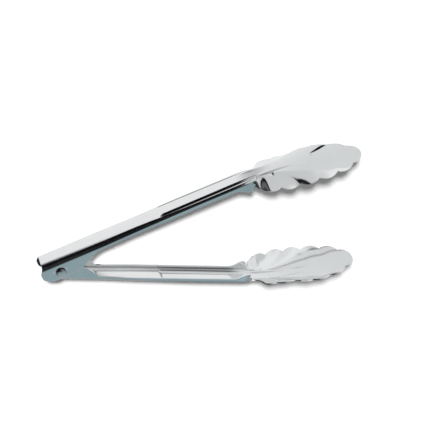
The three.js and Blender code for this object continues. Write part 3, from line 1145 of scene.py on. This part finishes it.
@dataclass
class Studio:
    """White table in a light room that is dark round the camera, with one soft lamp beside the camera."""

    room: tuple[tuple[float, Colour], ...] = (
        (-180, (0.02, 0.02, 0.02)), (-162, (0.05, 0.05, 0.055)), (-140, (0.20, 0.21, 0.22)),
        (-110, (0.33, 0.36, 0.385)), (-55, (0.33, 0.36, 0.385)), (-10, (0.9, 0.9, 0.9)),
        (15, (0.87, 0.88, 0.88)), (49, (0.85, 0.86, 0.86)), (60, (0.96, 0.97, 0.97)),
        (69, (0.94, 0.95, 0.95)), (82, (0.70, 0.71, 0.71)), (100, (0.68, 0.69, 0.69)),
        (102.5, (0.004, 0.004, 0.005)), (111, (0.004, 0.004, 0.005)), (120, (0.09, 0.09, 0.095)),
        (130, (0.14, 0.14, 0.15)), (144, (0.11, 0.11, 0.115)), (156, (0.03, 0.03, 0.03)),
        (180, (0.02, 0.02, 0.02)),
    )
    ceiling: tuple[Pair, ...] = (
        (-90, 1.0), (37, 1.0), (44, 0.8), (55, 0.7), (65, 0.58), (73, 0.3), (80, 0.06), (90, 0.03),
    )
    hood: Colour = (0.36, 0.487, 0.522)
    hood_from: float = 25 * DEGREE
    hood_full: float = 38 * DEGREE
    hood_reach: float = 0.25
    second_mirror: Colour = WHITE
    second_depth: float = 1.5
    ambient: float = 0.13
    lamp_strength: float = 3.5
    lamp_angle: float = 6 * DEGREE
    lamp_from: Triple = (-0.2512, 0.7520, 0.6094)
    floor_size: float = 8.0
    floor_drop: float = 0.0002
    floor_colour: Colour = (0.97, 0.97, 0.97)
    floor_in_picture: Colour = (1.27, 1.27, 1.27)
    floor_in_metal: Colour = (1.035, 1.035, 1.035)
    # Painted reflection: to the metal the table looks darker beside the heads.
    floor_beside_heads: Colour = (0.87, 0.88, 0.88)
    floor_glow: float = 0.4
    beside_from: float = 0.02
    beside_full: float = 0.09
    # Painted dark reflection: the area of the table that looks black to the metal.
    dark_reflection: Colour = (0.006, 0.006, 0.008)
    reflection_front: float = 0.0288
    reflection_spread: float = 0.393
    reflection_step: float = 0.0057
    reflection_step_starts: float = -0.0430
    reflection_step_ends: float = -0.0365
    reflection_side: float = 0.040
    reflection_side_from: float = 0.085
    reflection_side_lean: float = 0.17
    reflection_soft: float = 0.002
    # Painted dark reflections: small ovals of the table that look black to the metal.
    patches: tuple[Patch, ...] = (
        Patch(centre=(0.0938, 0.0569), turn=135 * DEGREE, half_length=0.0098, half_width=0.0019),
        Patch(centre=(0.037, 0.070), half_length=0.017, half_width=0.012, edge=0.1, strength=0.36),
        Patch(centre=(0.045, -0.047), half_length=0.006, half_width=0.009, edge=0.3, strength=0.9),
        Patch(centre=(0.033, 0.066), turn=21.8 * DEGREE, half_length=0.008, half_width=0.0013, edge=0.4, strength=0.9),
        Patch(centre=(-0.069, -0.011), half_length=0.0022, half_width=0.004, edge=0.4, strength=0.9),
    )

    def build(self) -> None:
        """Set the scene's world, lamp and floor."""
        self.light_world()
        self.hang_lamp()
        self.lay_floor()
        bpy.context.scene.view_settings.view_transform = "Standard"

    def light_world(self) -> None:
        """Make the world: the room and its ceiling in reflections, a plain white elsewhere."""
        world = bpy.data.worlds.new("studio")
        bpy.context.scene.world = world
        world.use_nodes = True
        nodes = Nodes(world.node_tree)
        place = nodes.add("ShaderNodeTexCoord")
        axis = Hinge.packed().axis
        upright = {"Vector": place.outputs["Generated"], "Rotation": (0.0, -math.atan2(axis.x, axis.z), 0.0)}
        split = nodes.add("ShaderNodeSeparateXYZ", {0: nodes.add("ShaderNodeMapping", upright).outputs[0]})
        x, y, z = split.outputs
        compass = nodes.step(nodes.math("ARCTAN2", y, x), -math.pi, math.pi, kind="LINEAR")
        walls = nodes.ramp(compass, [((turn + 180) / 360, colour) for turn, colour in self.room])
        height = nodes.step(z, -1.0, 1.0, kind="LINEAR")
        overhead = nodes.ramp(height, [((math.sin(up * DEGREE) + 1) / 2, (level,) * 3) for up, level in self.ceiling])
        above = nodes.step(z, math.sin(self.hood_from), math.sin(self.hood_full))
        behind = nodes.step(y, 0.0, -self.hood_reach, kind="LINEAR")
        hooded = nodes.blend(nodes.math("MULTIPLY", above, behind), walls, self.hood)
        room = nodes.blend(1.0, hooded, overhead, "MULTIPLY")
        path = nodes.add("ShaderNodeLightPath")
        again = nodes.math("GREATER_THAN", path.outputs["Glossy Depth"], self.second_depth)
        room = nodes.blend(nodes.math("MULTIPLY", again, behind), room, self.second_mirror)
        dimmed = {"Value": path.outputs["Is Diffuse Ray"], "To Min": 1.0, "To Max": self.ambient}
        nodes.give(world.node_tree.nodes["Background"], {
            "Color": nodes.blend(path.outputs["Is Glossy Ray"], WHITE, room),
            "Strength": nodes.add("ShaderNodeMapRange", dimmed).outputs[0],
        })

    def hang_lamp(self) -> None:
        """Hang the soft lamp beside the camera."""
        light = bpy.data.lights.new("soft_lamp", "SUN")
        light.energy = self.lamp_strength
        light.angle = self.lamp_angle
        lamp = hang("soft_lamp", light, Vector(self.lamp_from).to_track_quat("Z", "Y"))
        lamp.visible_glossy = False

    def reflection_share(self, nodes: Nodes, x: Socket, y: Socket) -> Socket:
        """Add nodes that say where on the table the painted dark reflection lies.

        Args:
            nodes: The table's nodes.
            x: Place along the table.
            y: Place across it.

        Returns:
            A share that is 1 on the painted dark reflection.
        """
        along = nodes.math("SUBTRACT", x, Hinge.packed().pivot.x)
        edge = nodes.math("MULTIPLY_ADD", along, self.reflection_spread, self.reflection_front)
        edge = nodes.math("SUBTRACT", edge, nodes.step(x, self.reflection_step_ends, self.reflection_step_starts, self.reflection_step))
        beyond = nodes.math("SUBTRACT", y, self.reflection_side_from)
        side = nodes.math("MULTIPLY_ADD", beyond, -self.reflection_side_lean, self.reflection_side)
        inside = nodes.math("MINIMUM", nodes.math("SUBTRACT", y, edge), nodes.math("SUBTRACT", side, x))
        return nodes.step(inside, 0.0, self.reflection_soft)

    def seen_by_metal(self, nodes: Nodes) -> Socket:
        """Add nodes for the table as the metal sees it, with its painted darker tone beside the heads and its painted
        dark reflections.

        Args:
            nodes: The table's nodes.

        Returns:
            The colour.
        """
        place = nodes.add("ShaderNodeTexCoord").outputs["Object"]
        x, y, _ = nodes.add("ShaderNodeSeparateXYZ", {0: place}).outputs
        # Painted reflections: the table seen by the metal is darker beside the heads and black on the painted dark
        # reflections.
        beside = nodes.step(x, self.beside_from, self.beside_full)
        seen = nodes.blend(beside, self.floor_in_metal, self.floor_beside_heads)
        seen = nodes.blend(self.reflection_share(nodes, x, y), seen, self.dark_reflection)
        for patch in self.patches:
            turned = nodes.add("ShaderNodeMapping", {
                "Vector": place, "Location": (*patch.centre, 0.0),
                "Rotation": (0.0, 0.0, patch.turn), "Scale": (patch.half_length, patch.half_width, 1.0),
            }, vector_type="TEXTURE")
            away = nodes.add("ShaderNodeVectorMath", {0: turned.outputs[0]}, operation="LENGTH").outputs["Value"]
            seen = nodes.blend(nodes.step(away, patch.rim, patch.edge, patch.strength), seen, self.dark_reflection)
        return seen

    def lay_floor(self) -> None:
        """Lay the white table top just under the tongs, with painted dark reflections that only the metal sees."""
        rest_selection()
        bpy.ops.mesh.primitive_plane_add(size=self.floor_size, location=(0, 0, -self.floor_drop))
        floor = bpy.context.object
        floor.name = "table_top"
        made = bpy.data.materials.new("table_top")
        made.use_nodes = True
        nodes = Nodes(made.node_tree)
        in_metal = self.seen_by_metal(nodes)
        path = nodes.add("ShaderNodeLightPath").outputs
        mirrored = nodes.math("MAXIMUM", path["Is Glossy Ray"], path["Is Transmission Ray"])
        plain = nodes.blend(path["Is Camera Ray"], self.floor_colour, self.floor_in_picture)
        shaded = nodes.blend(1.0, in_metal, (1 - self.floor_glow,) * 3, "MULTIPLY")
        nodes.give(made.node_tree.nodes["Principled BSDF"], {
            "Base Color": nodes.blend(mirrored, plain, shaded), "Roughness": 1.0, "Specular IOR Level": 0.0,
            "Emission Color": nodes.blend(mirrored, BLACK, in_metal), "Emission Strength": self.floor_glow,
        })
        floor.data.materials.append(made)


SHEET_STEEL = Steel(
    name="polished_sheet", colour=(0.80, 0.81, 0.815), roughness=0.09, spread=0.05,
    lines=900.0, smudges=45.0, waviness=0.00001,
)
RIVET_STEEL = Steel(
    name="rivet_steel", colour=(0.74, 0.75, 0.76), roughness=0.13, spread=0.06,
    lines=2500.0, smudges=400.0, waviness=0.000008,
)
WIRE_STEEL = Steel(
    name="spring_wire", colour=(0.56, 0.57, 0.58), roughness=0.24, spread=0.1,
    lines=3000.0, smudges=500.0, waviness=0.00001,
)


def outer_arm() -> StampedArm:
    """Size the upper arm, whose ears hold the rivet and the inner pair.

    Returns:
        The arm, not yet built.
    """
    sizes = ArmSizes()
    return StampedArm(
        side=Side.OUTER, node="outer_arm", body="outer",
        finish=replace(SHEET_STEEL, name="polished_sheet_outer", grain_turn=-sizes.opening / 2),
        width_at_hinge=sizes.hinge_width, web_behind=10.9, ear_behind=13.68,
        ear_front=((6, 15.8), (17, 15.8), (24, 4.2), (33, 4.2)),
    )


def inner_arm() -> StampedArm:
    """Size the lower arm, whose ears nest in the outer pair.

    Returns:
        The arm, not yet built.
    """
    sizes = ArmSizes(back_shade=0.75, flange_shade=0.2)
    return StampedArm(
        side=Side.INNER, node="inner_arm", body="inner",
        finish=replace(SHEET_STEEL, name="polished_sheet_inner", grain_turn=sizes.opening / 2),
        width_at_hinge=sizes.inner_width, web_behind=7.6, ear_behind=7.6, sizes=sizes,
        ear_front=((6, 15.8), (17, 13.4), (25.5, 9.4), (30, 4.2)),
    )


def main() -> None:
    """Build and dress every piece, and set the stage."""
    logging.basicConfig(level=logging.INFO, format="%(name)s: %(message)s")
    PhotoCamera().build()
    Studio().build()
    for piece in (outer_arm(), inner_arm(), Rivet(finish=RIVET_STEEL), Spring(finish=WIRE_STEEL)):
        made = piece.build()
        piece.dress(made)
        LOG.info("%s: %d faces", made.name, len(made.data.polygons))


if __name__ == "__main__":
    main()
